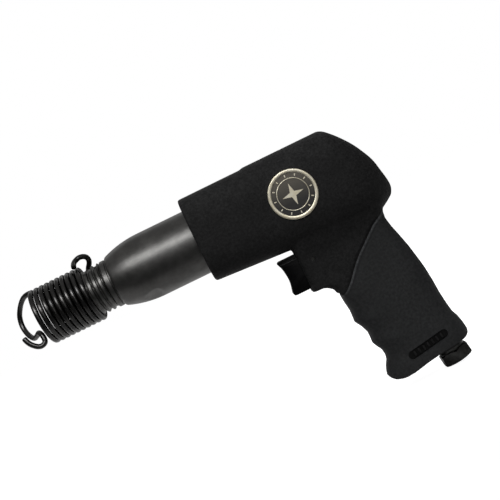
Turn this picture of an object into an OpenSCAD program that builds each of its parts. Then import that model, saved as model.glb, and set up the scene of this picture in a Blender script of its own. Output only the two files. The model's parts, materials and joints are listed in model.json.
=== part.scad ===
// Pneumatic air hammer with a pistol grip. All sizes are in millimetres.
// Frame: +X runs backward along the barrel, +Z is up, and the origin is the centre of the chisel
// bore at the barrel's nose face. The air inlet points down, out of the bottom of the grip.

/* [Barrel] */
// Outer radius of the barrel
barrel_r = 20.25; // [19.5:0.05:20.3]
// Radius of the bore that guides the chisel shank (a 10.2 mm shank)
chisel_bore_r = 5.15; // [5.1:0.01:5.3]
// Length of the chisel bore
chisel_bore_len = 25; // [20:1:28]
// Radius of the piston bore
piston_bore_r = 9.5; // [9:0.1:10]
// Distance the piston can travel
piston_stroke = 58; // [40:1:60]
// Root radius of the retainer thread on the nose
nose_root_r = 13.6; // [13:0.1:13.8]
// Crest radius of the retainer thread on the nose
nose_crest_r = 14.4; // [14:0.1:14.4]

/* [Retainer spring] */
// Radius of the spring wire
wire_r = 1.6; // [1.4:0.05:1.6]
// Radius of the coil, measured to the middle of the wire
coil_r = 16.15; // [16.15:0.05:16.4]
// Distance between two turns, the same as the pitch of the nose thread
coil_pitch = 3.42; // [3.38:0.02:3.44]

/* [Head and cover] */
// Width of the head cover across the tool
cover_w = 51; // [50:0.5:54]
// Radius of the cover's long edges
cover_edge_r = 16; // [12:1:18]
// Width of the neck of the cover, behind the trigger
neck_w = 31; // [29:0.5:33]
// Radius of the badge
badge_r = 14.7; // [13:0.1:15]

/* [Trigger and throttle] */
// Distance the trigger moves when it is pressed
trigger_travel = 5; // [3:0.5:5]
// Width of the trigger
trigger_w = 16; // [14:0.5:16]
// Height of the throttle bore's axis
throttle_z = -43.5; // [-45:0.1:-43]
// Radius of the throttle stem
stem_r = 2.05; // [2:0.01:2.06]

/* [Grip and inlet] */
// Width of the grip sleeve
grip_w = 33; // [31:0.5:35]
// Angle between the air inlet and straight down
inlet_lean = 8.5; // [8:0.1:9]
// Radius of the air inlet's bore, for a 1/4 in pipe thread
inlet_r = 5.7; // [5.5:0.1:5.9]
// Width across the flats of the inlet's hexagon
inlet_hex_w = 17.5; // [16:0.5:17.5]

/* [Hidden] */
$fn = 64;

// Gap between two pieces of one body, and between two pieces that move past each other.
seat_gap = 0.1;
run_gap = 0.05;

// Stations along the barrel's axis.
nose_thread_end = 26.2;
collar_r = 14.8;
collar_len = 2.6;
collar_end = 29.4;
nose_groove_r = 14.3;
ogive_start = 30.3;
ogive_start_r = 15.4;
ogive_end = 54;
barrel_shoulder = 91;
barrel_thread_end = 114;
barrel_end = 128;
casting_front = 92.8;
valve_front = 128.1;
valve_split = 138.1;
valve_end = 150;
air_room_start = 151.2;
air_room_end = 166;
piston_front = chisel_bore_len + 3 + piston_stroke;
piston_end = 127;
piston_tip_r = 6;
barrel_thread_r = 18;
barrel_tail_r = 17;
passage_r = 1.6;
passage_offset = 13.4;
port_r = 1.3;

// The valve.
valve_r = 16.9;
valve_pocket_r = 10;
valve_pocket_start = 131;
valve_pocket_end = 142;
shuttle_len = 8.7;

// The cover and the casting under it.
cover_front = 85;
cover_top = 28.1;
cover_bottom = -29.7;
cover_gap = 0.25;
block_front = 133.5;
neck_fillet_r = 22;
neck_fillet_z = -38.3;
deflector_front = 87.4;
deflector_end = 90.4;
casting_r = 22.5;
core_w = 24;
badge_x = 147.2;
badge_z = -0.3;
badge_y = -26.2;
badge_t = 1.6;
badge_rim_w = 2.4;

// The slot low on each side of the grip.
grip_slot_x = 180.4;
grip_slot_z = -113.3;
grip_slot_len = 22;
grip_slot_w = 5;
grip_slot_depth = 0.8;

// The trigger.
trigger_front = 121.5;
trigger_end = 152;
trigger_top = -32.1;
trigger_bottom = -54.6;
trigger_play = 0.35;
trigger_pin_x = 142;
trigger_pin_z = -39;
trigger_pin_r = 1.4;
trigger_pin_len = 25;

// The throttle, along its own bore.
pocket_end = 158.5;
bushing_r = 7.5;
bushing_front = 158.7;
bushing_port = 163.3;
bushing_seat = 169;
throttle_bore_end = 184.5;
valve_head_r = 5.5;
valve_head_front = 170.2;
valve_head_end = 172.8;
throttle_spring_start = 172.9;
bushing_seal_at = [160.4, 167.2];

// The inlet, along its own axis: 0 is the outer end, and distances count up the grip.
inlet_x = 195;
inlet_z = -131.8;
inlet_bore_len = 14;
inlet_collar_at = 7.2;
inlet_collar_r = 8.2;
inlet_collar_end = 9.4;
inlet_washer_r = 8.7;
inlet_washer_t = 1.5;
inlet_boss_r = 9.1;
inlet_boss_at = inlet_collar_end + inlet_washer_t + 0.1;
inlet_boss_h = 3.5;
inlet_thread_r = 7.4;
inlet_thread_end = 24;
inlet_passage_r = 4.5;
inlet_passage_end = 90;

// The line where the cover meets the grip sleeve, from the front to the back.
SEAM = [[147.6, -66.6], [152, -64.3], [156, -60.5], [160.2, -55.6], [164.2, -51.3], [168.3, -47.6],
        [174.3, -42.7], [178.4, -39.4], [182.4, -36.3], [186.4, -34.1], [191.6, -31]];

// Side outline of the cover, from the seam's front end round the trigger and the head.
COVER_SIDE = [[147.2, -65.6], [147, -64.9], [145.9, -62], [142.8, -59.4], [139.2, -57.7],
              [block_front, -57.7], [block_front, -31.2], [132.4, -29.6], [86.6, -25.9],
              [cover_front, -24.3], [cover_front, 25.5], [86.6, 27.1], [126.2, 27.1], [127.4, 27.7],
              [138, 27.8], [139, 27.1], [140, 27.8], [151.5, 27.8], [152.5, 27.1], [153.5, 27.8],
              [177.6, 28], [180, 27], [183, 24.9], [189, 19.2], [195, 11.7], [199.2, 3.3], [201, -1.5],
              [202.2, -7.5], [203.4, -15.3], [203, -18.9], [201, -23.7]];

// Side outline of the grip sleeve, from the seam's back end down the back and up the finger side.
GRIP_SIDE = [[191.4, -36.3], [194.4, -48.3], [196.8, -57.3], [199.8, -72.3], [201.6, -90.3],
             [203.4, -102.3], [206.4, -111.9], [207, -116.1], [205.8, -118.6], [203.4, -120],
             [199.4, -121], [183.1, -122], [175, -123.3], [166.9, -125.1], [161.9, -125.7],
             [158.9, -125.6], [155.9, -125.2], [154.4, -124.5], [153.3, -123.4], [152.9, -122.1],
             [153.4, -120.5], [154.7, -117.5], [156.5, -114], [157.2, -111], [156.9, -107.9],
             [155.6, -104.8], [154, -101.7], [152.8, -99], [153.3, -96.5], [153.1, -92.5],
             [152.3, -88], [150.4, -84.5], [149.1, -81], [149.1, -77.5], [148, -72]];

// Side outline of the casting's core inside the neck and the grip.
CORE_SIDE = [[138, -12], [138, -54.6], [145.5, -59.2], [153.5, -67], [158, -86], [162, -98],
             [164, -112], [163.5, -122.2], [172, -121.6], [183, -120.2], [200.5, -119], [200.5, -112],
             [198, -99], [196, -78], [190.5, -50], [187.5, -36], [190, -12]];

// ---- Helpers ----

// A cylinder along X between two stations.
module x_rod(r, from, to, y = 0, z = 0) {
    translate([from, y, z]) rotate([0, 90, 0]) cylinder(r = r, h = to - from);
}

// A ring along X between two stations.
module x_ring(outer, inner, from, to, z = 0) {
    difference() {
        x_rod(outer, from, to, 0, z);
        x_rod(inner, from - 1, to + 1, 0, z);
    }
}

// A solid turned about the X axis; each point is [radius, station].
module x_turned(points) {
    rotate([0, 90, 0]) rotate_extrude() polygon(points);
}

// An O-ring about an axis along X.
module x_o_ring(centre_r, cord_r, at, z = 0) {
    translate([at, 0, z]) rotate([0, 90, 0]) rotate_extrude() translate([centre_r, 0]) circle(cord_r);
}

// A side outline, given as [x, z] points, made as wide as w about the middle plane.
module side_slab(points, w) {
    translate([0, w / 2, 0]) rotate([90, 0, 0]) linear_extrude(w) polygon(points);
}

// A shape in the inlet's own frame, with +Z up the grip from the inlet's outer end.
module at_inlet(distance = 0) {
    translate([inlet_x, 0, inlet_z]) rotate([0, -inlet_lean, 0]) translate([0, 0, distance]) children();
}

// A rectangle with exact round corners, centred on x, from z0 to z1.
module round_rect(w, z0, z1, r) {
    translate([-w / 2 + r, z0]) square([w - 2 * r, z1 - z0]);
    translate([-w / 2, z0 + r]) square([w, z1 - z0 - 2 * r]);
    for (x = [-w / 2 + r, w / 2 - r], z = [z0 + r, z1 - r]) translate([x, z]) circle(r);
}

// Vector helpers for the wire sweeps.
function unit(v) = v / norm(v);
function across(n, t) = unit(n - (n * t) * t);
function tangents(path) = [for (i = [0 : len(path) - 1])
    unit(path[min(i + 1, len(path) - 1)] - path[max(i - 1, 0)])];
function carried(t, first) = [for (i = 0, n = across(first, t[0]); i < len(t);
    i = i + 1, n = i < len(t) ? across(n, t[i]) : n) n];

// A smooth curve through hand-chosen points, with a few steps for each stretch.
function curve_point(p, i, s) =
    let (a = p[max(i - 1, 0)], b = p[i], c = p[i + 1], d = p[min(i + 2, len(p) - 1)])
    0.5 * (2 * b + (c - a) * s + (2 * a - 5 * b + 4 * c - d) * s * s + (3 * b - a - 3 * c + d) * s * s * s);
function smooth_path(p, steps) = concat(
    [for (i = [0 : len(p) - 2], k = [0 : steps - 1]) curve_point(p, i, k / steps)], [p[len(p) - 1]]);

// A helix about X: turns are counted from the top, through the near side (-Y) to the bottom.
function x_helix(r, pitch, from, turns, steps, z = 0) = [for (i = [0 : round(turns * steps)])
    let (a = 360 * i / steps) [from + pitch * i / steps, -r * sin(a), z + r * cos(a)]];

// A round wire swept along a path, as one closed polyhedron.
module wire(path, r, sides, first_normal) {
    t = tangents(path);
    n = carried(t, first_normal);
    rings = len(path);
    points = [for (i = [0 : rings - 1], k = [0 : sides - 1])
        path[i] + r * (cos(360 * k / sides) * n[i] + sin(360 * k / sides) * cross(t[i], n[i]))];
    walls = [for (i = [0 : rings - 2], k = [0 : sides - 1]) let (a = i * sides, b = (k + 1) % sides)
        [a + k, a + sides + k, a + sides + b, a + b]];
    front = [for (k = [0 : sides - 1]) k];
    back = [for (k = [sides - 1 : -1 : 0]) (rings - 1) * sides + k];
    polyhedron(points, concat([front], walls, [back]));
}

// ---- Barrel and what moves in front of it ----

// The ogive is one arc that ends level with the barrel's outer surface.
ogive_rise = barrel_r - ogive_start_r;
ogive_arc_r = (pow(ogive_end - ogive_start, 2) + pow(ogive_rise, 2)) / (2 * ogive_rise);
function ogive_r(x) = barrel_r - ogive_arc_r + sqrt(pow(ogive_arc_r, 2) - pow(ogive_end - x, 2));

// One ridge of the nose thread, as [radius, station] points.
function ridge(x) = [[nose_root_r, x - 1.2], [nose_crest_r, x - 0.35], [nose_crest_r, x + 0.35],
    [nose_root_r, x + 1.2]];

module barrel() color([0.2, 0.2, 0.21]) difference() {
    x_turned(concat(
        [[0, 0], [nose_root_r, 0]],
        [for (i = [0 : 6], p = ridge(1.8 + i * coil_pitch)) p],
        [[nose_root_r, nose_thread_end - 0.8], [nose_crest_r, nose_thread_end],
         [collar_r, collar_end - collar_len], [collar_r, collar_end],
         [nose_groove_r, collar_end + 0.2], [nose_groove_r, ogive_start - 0.2]],
        [for (i = [0 : 7]) let (x = ogive_start + i * (ogive_end - ogive_start) / 7) [ogive_r(x), x]],
        [[barrel_r, barrel_shoulder], [barrel_thread_r, barrel_shoulder],
         [barrel_thread_r, barrel_thread_end], [barrel_tail_r, barrel_thread_end],
         [barrel_tail_r, barrel_end], [0, barrel_end]]));
    x_rod(chisel_bore_r, -1, chisel_bore_len + 1);
    x_rod(piston_bore_r, chisel_bore_len, barrel_end + 1);
    // Return-air passages to the front of the piston bore, and the exhaust ports.
    for (side = [-1, 1]) {
        x_rod(passage_r, 36, barrel_end + 1, side * passage_offset);
        translate([38, 0, 0]) rotate([-90 * side, 0, 0]) cylinder(r = port_r, h = passage_offset);
    }
    translate([89, 0, -barrel_r - 1]) cylinder(r = port_r, h = 2 * barrel_r + 2);
}

// The coil's front end is at the top; its back end leaves the far side as a finger loop.
coil_front = -18;
coil_turns = 9.87;
FRONT_HOOK = [[-31.6, -10, -6.8], [-30.6, -10.4, -9.6], [-29, -10.4, -12.2], [-26.4, -10, -14.6],
              [-24, -9.4, -15.3], [-21.7, -8.8, -14.3], [-21.2, -8.3, -12], [-21.8, -7.3, -9.3],
              [-23.6, -4.2, -7.6], [-26.2, -0.6, -8.6], [-29.2, 3.6, -9.2], [-31.8, 7.4, -7.4],
              [-34, 10.6, -3.6], [-34.9, 12.4, 1.4], [-34, 12.6, 6.4], [-31.6, 11.2, 10.4],
              [-28.4, 8.4, 13.6], [-24.9, 5.2, 15.7], [-21.4, 2.2, 16.4]];
BACK_LOOP = [[17.8, 8, 14.9], [19.9, 4.8, 16.9], [21, 2.6, 18.9], [20.6, 1.4, 21], [18.9, 0.5, 22.2],
             [16.7, -0.4, 22.5], [14.6, -1.4, 21.8], [13.2, -3.4, 20.7], [12.8, -6, 19.3],
             [12.8, -8.2, 17.9]];

module retainer_spring() color([0.06, 0.06, 0.07]) {
    turns = x_helix(coil_r, coil_pitch, coil_front, coil_turns, 20);
    path = concat(smooth_path(concat(FRONT_HOOK, [turns[0]]), 2),
        [for (i = [1 : len(turns) - 2]) turns[i]],
        smooth_path(concat([turns[len(turns) - 1]], BACK_LOOP), 2));
    wire(path, wire_r, 8, [0, 1, 0]);
}

module piston() color("silver") difference() {
    x_turned([[0, piston_front], [piston_tip_r - 0.6, piston_front], [piston_tip_r, piston_front + 0.6],
        [piston_tip_r, piston_front + 5], [piston_bore_r - run_gap, piston_front + 8],
        [piston_bore_r - run_gap, piston_end - 1], [piston_bore_r - run_gap - 1, piston_end],
        [0, piston_end]]);
    // Oil grooves, and the hollow in the back that makes the piston lighter.
    for (x = [98, 106, 114]) x_ring(12, piston_bore_r - 0.6, x, x + 1.2);
    x_rod(4, piston_end - 12, piston_end + 1);
}

module exhaust_deflector() color([0.12, 0.12, 0.12]) difference() {
    x_ring(casting_r - seat_gap, barrel_r + seat_gap, deflector_front + seat_gap, deflector_end);
    // Slots on the outside that let the exhaust out past the barrel.
    for (a = [0 : 45 : 315]) rotate([a, 0, 0])
        translate([deflector_front, -1.5, casting_r - 1.2]) cube([5, 3, 3]);
}

module lock_ring() color("silver") difference() {
    x_ring(21.5, barrel_thread_r + seat_gap, barrel_shoulder + seat_gap, casting_front - seat_gap);
    translate([barrel_shoulder - 1, -1, 15]) cube([5, 2, 10]);
}

// ---- Valve ----

// Air passages and dowel holes through both halves of the valve case.
module valve_case_holes() {
    for (side = [-1, 1]) x_rod(passage_r, valve_front - 1, valve_end + 1, side * passage_offset);
    for (side = [-1, 1]) x_rod(1.25 + run_gap, 134, 142, 0, side * passage_offset);
}

module valve_case_front() color("silver") difference() {
    x_rod(valve_r, valve_front, valve_split - seat_gap);
    x_rod(5, valve_front - 1, valve_pocket_start + 1);
    x_rod(valve_pocket_r, valve_pocket_start, valve_split + 1);
    valve_case_holes();
}

module shuttle_valve() color("gainsboro") difference() {
    x_rod(valve_pocket_r - run_gap, valve_pocket_start + 0.2, valve_pocket_start + 0.2 + shuttle_len);
    x_rod(4.5, valve_pocket_start - 1, valve_pocket_end);
    x_ring(12, valve_pocket_r - 1.2, valve_pocket_start + 3, valve_pocket_start + 6);
}

module valve_case_rear() color("silver") difference() {
    x_rod(valve_r, valve_split, valve_end);
    x_rod(valve_pocket_r, valve_split - 1, valve_pocket_end);
    for (a = [45 : 90 : 315]) rotate([a, 0, 0]) x_rod(2, valve_pocket_end - 1, valve_end + 1, 6);
    valve_case_holes();
    x_ring(20, 15.6, 145, 147.4);
}

module valve_dowel_pins() color("silver") {
    for (side = [-1, 1]) x_rod(1.25, 134.2, 141.8, 0, side * passage_offset);
}

module valve_case_seal() color([0.1, 0.1, 0.1]) x_o_ring(16.4, 0.75, 146.2);

module wave_washer() color("silver") x_ring(16.5, 11, valve_end + seat_gap, air_room_start - seat_gap);

// ---- Handle ----

module trigger_pocket() {
    p = trigger_play;
    translate([130, -trigger_w / 2 - p, trigger_bottom - p])
        cube([pocket_end - 130, trigger_w + 2 * p, trigger_top - trigger_bottom + 2 * p]);
}

// Outside of the casting's head, grown by a gap.
module casting_head(gap = 0) {
    x_turned([[0, casting_front - gap], [casting_r + gap, casting_front - gap], [casting_r + gap, 168],
        [21.2 + gap, 177], [17 + gap, 185], [12 + gap, 190], [5 + gap, 193.6], [0, 194.2 + gap]]);
}

module casting_core(gap = 0) {
    side_slab(CORE_SIDE, core_w + 2 * gap);
}

// The hole for the trigger's pin, through everything.
module trigger_pin_hole() {
    translate([trigger_pin_x, 20, trigger_pin_z]) rotate([90, 0, 0])
        cylinder(r = trigger_pin_r + run_gap, h = 40);
}

module handle_casting() color([0.55, 0.56, 0.58]) difference() {
    union() {
        casting_head();
        casting_core();
        // The round boss that the inlet's washer sits on.
        at_inlet(inlet_boss_at) cylinder(r = inlet_boss_r, h = inlet_boss_h);
    }
    // The barrel's thread, the valve and the air room behind it.
    x_rod(barrel_thread_r + seat_gap, casting_front - 1, barrel_thread_end + seat_gap);
    x_rod(valve_r + 0.35, barrel_thread_end, air_room_start);
    x_rod(12, air_room_start - 1, air_room_end);
    // The trigger, the throttle and the passage up to the air room.
    trigger_pocket();
    x_rod(bushing_r + seat_gap, pocket_end - 1, throttle_bore_end, 0, throttle_z);
    translate([bushing_port, 0, throttle_z + 2]) cylinder(r = 2.2, h = 35);
    trigger_pin_hole();
    // The passage up the grip from the inlet.
    at_inlet(-1) cylinder(r = inlet_thread_r + seat_gap, h = 28.5);
    at_inlet(26) cylinder(r = inlet_passage_r, h = inlet_passage_end - 26);
}

// The cover's side outline as a slab, closed along the seam.
module cover_slab() {
    side_slab(concat(COVER_SIDE, [for (i = [len(SEAM) - 1 : -1 : 0]) SEAM[i]]), 60);
}

// Seen from above: straight sides and a round back.
module cover_plan() {
    translate([0, 0, -80]) linear_extrude(120) {
        translate([80, -cover_w / 2]) square([98, cover_w]);
        translate([178, 0]) circle(cover_w / 2);
    }
}

module cover_head() {
    intersection() {
        cover_slab();
        cover_plan();
        translate([80, 0, 0]) rotate([90, 0, 90]) linear_extrude(130)
            round_rect(cover_w, cover_bottom, cover_top, cover_edge_r);
    }
}

// The neck behind the trigger widens in a fillet where it meets the head.
module cover_neck() {
    intersection() {
        cover_slab();
        cover_plan();
        translate([block_front, 0, 0]) rotate([90, 0, 90]) linear_extrude(80) {
            translate([-neck_w / 2, -70]) square([neck_w, 60]);
            difference() {
                translate([-neck_w / 2 - 5.3, neck_fillet_z]) square([neck_w + 10.6, 14.5]);
                for (side = [-1, 1]) translate([side * (neck_w / 2 + neck_fillet_r), neck_fillet_z])
                    circle(neck_fillet_r);
            }
        }
    }
}

module head_cover() color([0.1, 0.1, 0.1]) difference() {
    union() {
        cover_head();
        cover_neck();
    }
    x_rod(barrel_r + cover_gap, cover_front - 1, deflector_front + 1);
    x_rod(casting_r + seat_gap, deflector_front, casting_front + 1);
    casting_head(seat_gap);
    casting_core(seat_gap);
    trigger_pocket();
    trigger_pin_hole();
    translate([badge_x, badge_y + badge_t + seat_gap, badge_z]) rotate([90, 0, 0])
        cylinder(r = badge_r + 0.2, h = 9);
}

// The grip's outer shape: its side outline crossed with a rounded section along the grip.
module grip_sleeve() color([0.16, 0.16, 0.17]) difference() {
    intersection() {
        side_slab(concat([for (p = SEAM) p + [0.1, -0.15]], GRIP_SIDE), 60);
        translate([178.5, 0, -99]) rotate([0, -10, 0]) translate([0, 0, -60]) linear_extrude(150)
            rotate([0, 0, 90]) round_rect(grip_w, -28, 29.5, 14);
    }
    casting_core(seat_gap);
    at_inlet(-5) cylinder(r = inlet_boss_r + seat_gap, h = inlet_boss_at + inlet_boss_h + 6);
    for (side = [-1, 1])
        translate([grip_slot_x, side * (grip_w / 2 + 10 - grip_slot_depth), grip_slot_z])
            rotate([0, -9, 0]) grip_slot();
}

// The recessed slot low on each side of the grip.
module grip_slot() {
    translate([0, 10, 0]) rotate([90, 0, 0]) linear_extrude(20) {
        square([grip_slot_len, grip_slot_w], center = true);
        for (x = [-0.5, 0.5] * grip_slot_len) translate([x, 0]) circle(grip_slot_w / 2);
    }
}

module badge() color([0.75, 0.66, 0.42]) difference() {
    translate([badge_x, badge_y + badge_t, badge_z]) rotate([90, 0, 0]) cylinder(r = badge_r, h = badge_t);
    translate([badge_x, badge_y + 0.4, badge_z]) rotate([90, 0, 0])
        cylinder(r = badge_r - badge_rim_w, h = 2);
}

// ---- Trigger and throttle ----

module trigger() color([0.05, 0.05, 0.05]) difference() {
    side_slab([[122.1, -33.6], [123, -36.3], [123.9, -41.1], [124.2, -45.3], [123.6, -49.5],
        [122.4, -53.6], [123.4, trigger_bottom], [trigger_end, trigger_bottom],
        [trigger_end, trigger_top], [trigger_front + 0.8, trigger_top]], trigger_w);
    // The slot that the pin holds it by.
    translate([trigger_pin_x - trigger_travel - 0.2, 20, trigger_pin_z - trigger_pin_r - 0.2])
        mirror([0, 1, 0]) cube([trigger_travel + 0.4, 40, 2 * (trigger_pin_r + 0.2)]);
    for (x = [trigger_pin_x - trigger_travel - 0.2, trigger_pin_x + 0.2])
        translate([x, 20, trigger_pin_z]) rotate([90, 0, 0]) cylinder(r = trigger_pin_r + 0.2, h = 40);
    // The shallow line below the trigger's top face.
    for (side = [-1, 1]) translate([118, side * trigger_w / 2, -34.5]) cube([30, 0.8, 0.7], center = true);
}

module trigger_pin() color("silver") {
    translate([trigger_pin_x, trigger_pin_len / 2, trigger_pin_z]) rotate([90, 0, 0])
        cylinder(r = trigger_pin_r, h = trigger_pin_len);
}

module throttle_bushing() color("gold") difference() {
    x_rod(bushing_r, bushing_front, bushing_seat, 0, throttle_z);
    x_rod(stem_r + run_gap, bushing_front - 1, bushing_port - 2, 0, throttle_z);
    x_rod(4, bushing_port - 2.4, bushing_seat + 1, 0, throttle_z);
    translate([bushing_port, 0, throttle_z - 10]) cylinder(r = port_r, h = 20);
    translate([bushing_port, 10, throttle_z]) rotate([90, 0, 0]) cylinder(r = port_r, h = 20);
    for (x = bushing_seal_at) x_ring(9, bushing_r - 1.1, x - 0.9, x + 0.9, throttle_z);
}

module bushing_seals() color([0.1, 0.1, 0.1]) {
    for (x = bushing_seal_at) x_o_ring(bushing_r - 0.5, 0.55, x, throttle_z);
}

module throttle_valve() color("silver") {
    x_rod(stem_r, trigger_end + 0.2, valve_head_front + 1, 0, throttle_z);
    x_rod(valve_head_r, valve_head_front, valve_head_end, 0, throttle_z);
    x_rod(2, valve_head_end - 1, valve_head_end + 3.6, 0, throttle_z);
}

module throttle_seal() color([0.1, 0.1, 0.1])
    x_ring(valve_head_r, stem_r + run_gap, bushing_seat + 0.1, valve_head_front - 0.05, throttle_z);

module throttle_spring() color("silver") {
    spring_len = throttle_bore_end - throttle_spring_start - 1.4;
    wire(x_helix(3.4, spring_len / 5, throttle_spring_start + 0.6, 5, 16, throttle_z), 0.5, 6, [1, 0, 0]);
}

// ---- Inlet ----

module inlet_bushing() color([0.3, 0.3, 0.31]) at_inlet() difference() {
    union() {
        rotate([0, 0, 30]) cylinder(r = inlet_hex_w / 2 / cos(30), h = inlet_collar_at, $fn = 6);
        translate([0, 0, inlet_collar_at - 1])
            cylinder(r = inlet_collar_r, h = inlet_collar_end - inlet_collar_at + 1);
        translate([0, 0, inlet_collar_end - 1])
            cylinder(r = inlet_thread_r, h = inlet_thread_end - inlet_collar_end + 1);
    }
    translate([0, 0, -1]) cylinder(r = inlet_r, h = inlet_bore_len + 1);
    translate([0, 0, inlet_bore_len - 2]) cylinder(r = inlet_passage_r, h = 20);
}

module inlet_washer() color([0.1, 0.1, 0.1]) at_inlet(inlet_collar_end + 0.05) difference() {
    cylinder(r = inlet_washer_r, h = inlet_washer_t);
    translate([0, 0, -1]) cylinder(r = inlet_thread_r + seat_gap, h = 4);
}

module inlet_screen() color("silver") at_inlet(inlet_thread_end + 0.2) difference() {
    cylinder(r = 7.2, h = 1);
    for (x = [-3.6 : 1.8 : 3.6], y = [-3.6 : 1.8 : 3.6]) if (norm([x, y]) < 4.2)
        translate([x, y, -1]) cylinder(r = 0.6, h = 4);
}

barrel();
retainer_spring();
piston();
exhaust_deflector();
lock_ring();
valve_case_front();
shuttle_valve();
valve_case_rear();
valve_dowel_pins();
valve_case_seal();
wave_washer();
handle_casting();
head_cover();
grip_sleeve();
badge();
trigger();
trigger_pin();
throttle_bushing();
bushing_seals();
throttle_valve();
throttle_seal();
throttle_spring();
inlet_bushing();
inlet_washer();
inlet_screen();
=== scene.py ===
import json
import math

import bpy
import bmesh
import numpy as np
from mathutils import Matrix, Vector


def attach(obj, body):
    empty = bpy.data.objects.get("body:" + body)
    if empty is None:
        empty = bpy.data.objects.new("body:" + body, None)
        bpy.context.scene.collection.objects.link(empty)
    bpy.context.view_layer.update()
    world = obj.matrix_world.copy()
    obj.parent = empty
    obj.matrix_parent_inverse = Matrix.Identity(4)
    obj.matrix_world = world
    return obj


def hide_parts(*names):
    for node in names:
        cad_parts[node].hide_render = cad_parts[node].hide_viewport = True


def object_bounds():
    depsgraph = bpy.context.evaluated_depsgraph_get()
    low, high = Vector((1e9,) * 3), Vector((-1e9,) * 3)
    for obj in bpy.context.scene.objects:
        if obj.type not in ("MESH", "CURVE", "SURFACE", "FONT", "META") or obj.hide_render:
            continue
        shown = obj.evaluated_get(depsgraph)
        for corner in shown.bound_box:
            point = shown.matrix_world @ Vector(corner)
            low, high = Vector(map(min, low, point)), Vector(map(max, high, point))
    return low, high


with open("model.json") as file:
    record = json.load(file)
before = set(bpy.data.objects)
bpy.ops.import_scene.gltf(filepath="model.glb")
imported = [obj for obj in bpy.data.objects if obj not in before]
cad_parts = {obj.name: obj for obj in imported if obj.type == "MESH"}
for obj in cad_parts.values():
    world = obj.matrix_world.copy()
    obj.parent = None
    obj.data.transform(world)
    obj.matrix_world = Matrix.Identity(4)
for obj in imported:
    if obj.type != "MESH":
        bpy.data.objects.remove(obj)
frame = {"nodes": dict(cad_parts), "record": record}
CAD_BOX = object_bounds()

# Lengths in this script are in millimetres of the frame (+X backward along the barrel, +Z up, the
# origin at the centre of the chisel bore's mouth). MM turns them into Blender's metres.
MM = 0.001

# ---------------------------------------------------------------- camera and studio

LEAN = math.radians(26)
CAMERA_AT = (111.0, -564.0, -18.3)
FOCAL_LENGTH = 67.7
SENSOR = 36.0


def make_camera():
    """Looks along +Y at the tool's left side, rolled so that the barrel slopes down to the left."""
    data = bpy.data.cameras.new("camera")
    data.lens = FOCAL_LENGTH
    data.sensor_width = SENSOR
    data.clip_start = 0.01
    data.clip_end = 100
    camera = bpy.data.objects.new("camera", data)
    right = Vector((math.cos(LEAN), 0, -math.sin(LEAN)))
    up = Vector((math.sin(LEAN), 0, math.cos(LEAN)))
    back = right.cross(up)
    turn = Matrix((right, up, back)).transposed().to_4x4()
    camera.matrix_world = Matrix.Translation(Vector(CAMERA_AT) * MM) @ turn
    bpy.context.scene.collection.objects.link(camera)
    bpy.context.scene.camera = camera


TOOL_CENTRE = (100, 0, -20)
FLOOR_BEHIND = (100, 250, -134)
# Each light's name, place, aim, sides in metres and power in watts, and whether reflections show it.
LIGHTS = [
    ("key", (20, -820, 560), TOOL_CENTRE, (1.1, 0.42), 3.6, True),
    ("strip", (20, -700, 480), TOOL_CENTRE, (0.9, 0.07), 1.1, True),
    ("front_fill", (380, -1100, 60), TOOL_CENTRE, (0.7, 0.9), 0.8, True),
    ("rim", (60, 700, 560), TOOL_CENTRE, (1.4, 0.3), 0.6, True),
    ("top_fill", (120, -150, 900), TOOL_CENTRE, (1.2, 0.5), 7.0, False),
    ("floor_light", (100, 350, 700), FLOOR_BEHIND, (1.4, 0.5), 2.2, False),
]


def area_light(name, at, aim, size, power, reflected):
    data = bpy.data.lights.new(name, "AREA")
    data.shape = "RECTANGLE"
    data.size, data.size_y = size
    data.energy = power
    light = bpy.data.objects.new(name, data)
    light.location = Vector(at) * MM
    light.rotation_mode = "QUATERNION"
    light.rotation_quaternion = (Vector(aim) * MM - light.location).to_track_quat("-Z", "Y")
    light.visible_glossy = reflected
    bpy.context.scene.collection.objects.link(light)


WORLD_TINT = (1.0, 0.995, 0.98, 1)
# Strength of the fill at and below the horizon, and overhead.
WORLD_LOW = 0.06
WORLD_HIGH = 0.27


def make_world():
    """Plain white to the camera, and a dim fill from above to everything else."""
    world = bpy.data.worlds.new("studio")
    bpy.context.scene.world = world
    world.use_nodes = True
    tree = world.node_tree
    tree.nodes.clear()
    seen = tree.nodes.new("ShaderNodeBackground")
    seen.inputs["Color"].default_value = (1, 1, 1, 1)
    seen.inputs["Strength"].default_value = 1.0
    where = tree.nodes.new("ShaderNodeTexCoord")
    height = tree.nodes.new("ShaderNodeSeparateXYZ")
    tree.links.new(where.outputs["Generated"], height.inputs[0])
    level = tree.nodes.new("ShaderNodeMapRange")
    level.inputs["From Min"].default_value = 0.0
    level.inputs["From Max"].default_value = 1.0
    level.inputs["To Min"].default_value = WORLD_LOW
    level.inputs["To Max"].default_value = WORLD_HIGH
    tree.links.new(height.outputs["Z"], level.inputs["Value"])
    fill = tree.nodes.new("ShaderNodeBackground")
    fill.inputs["Color"].default_value = WORLD_TINT
    tree.links.new(level.outputs[0], fill.inputs["Strength"])
    path = tree.nodes.new("ShaderNodeLightPath")
    mix = tree.nodes.new("ShaderNodeMixShader")
    tree.links.new(path.outputs["Is Camera Ray"], mix.inputs[0])
    tree.links.new(fill.outputs[0], mix.inputs[1])
    tree.links.new(seen.outputs[0], mix.inputs[2])
    out = tree.nodes.new("ShaderNodeOutputWorld")
    tree.links.new(mix.outputs[0], out.inputs[0])


def make_studio():
    bpy.context.scene.view_settings.view_transform = "Standard"
    make_world()
    for light in LIGHTS:
        area_light(*light)
    make_floor()


FLOOR_HALF = 20000.0
FLOOR_GAP = 0.2
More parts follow.
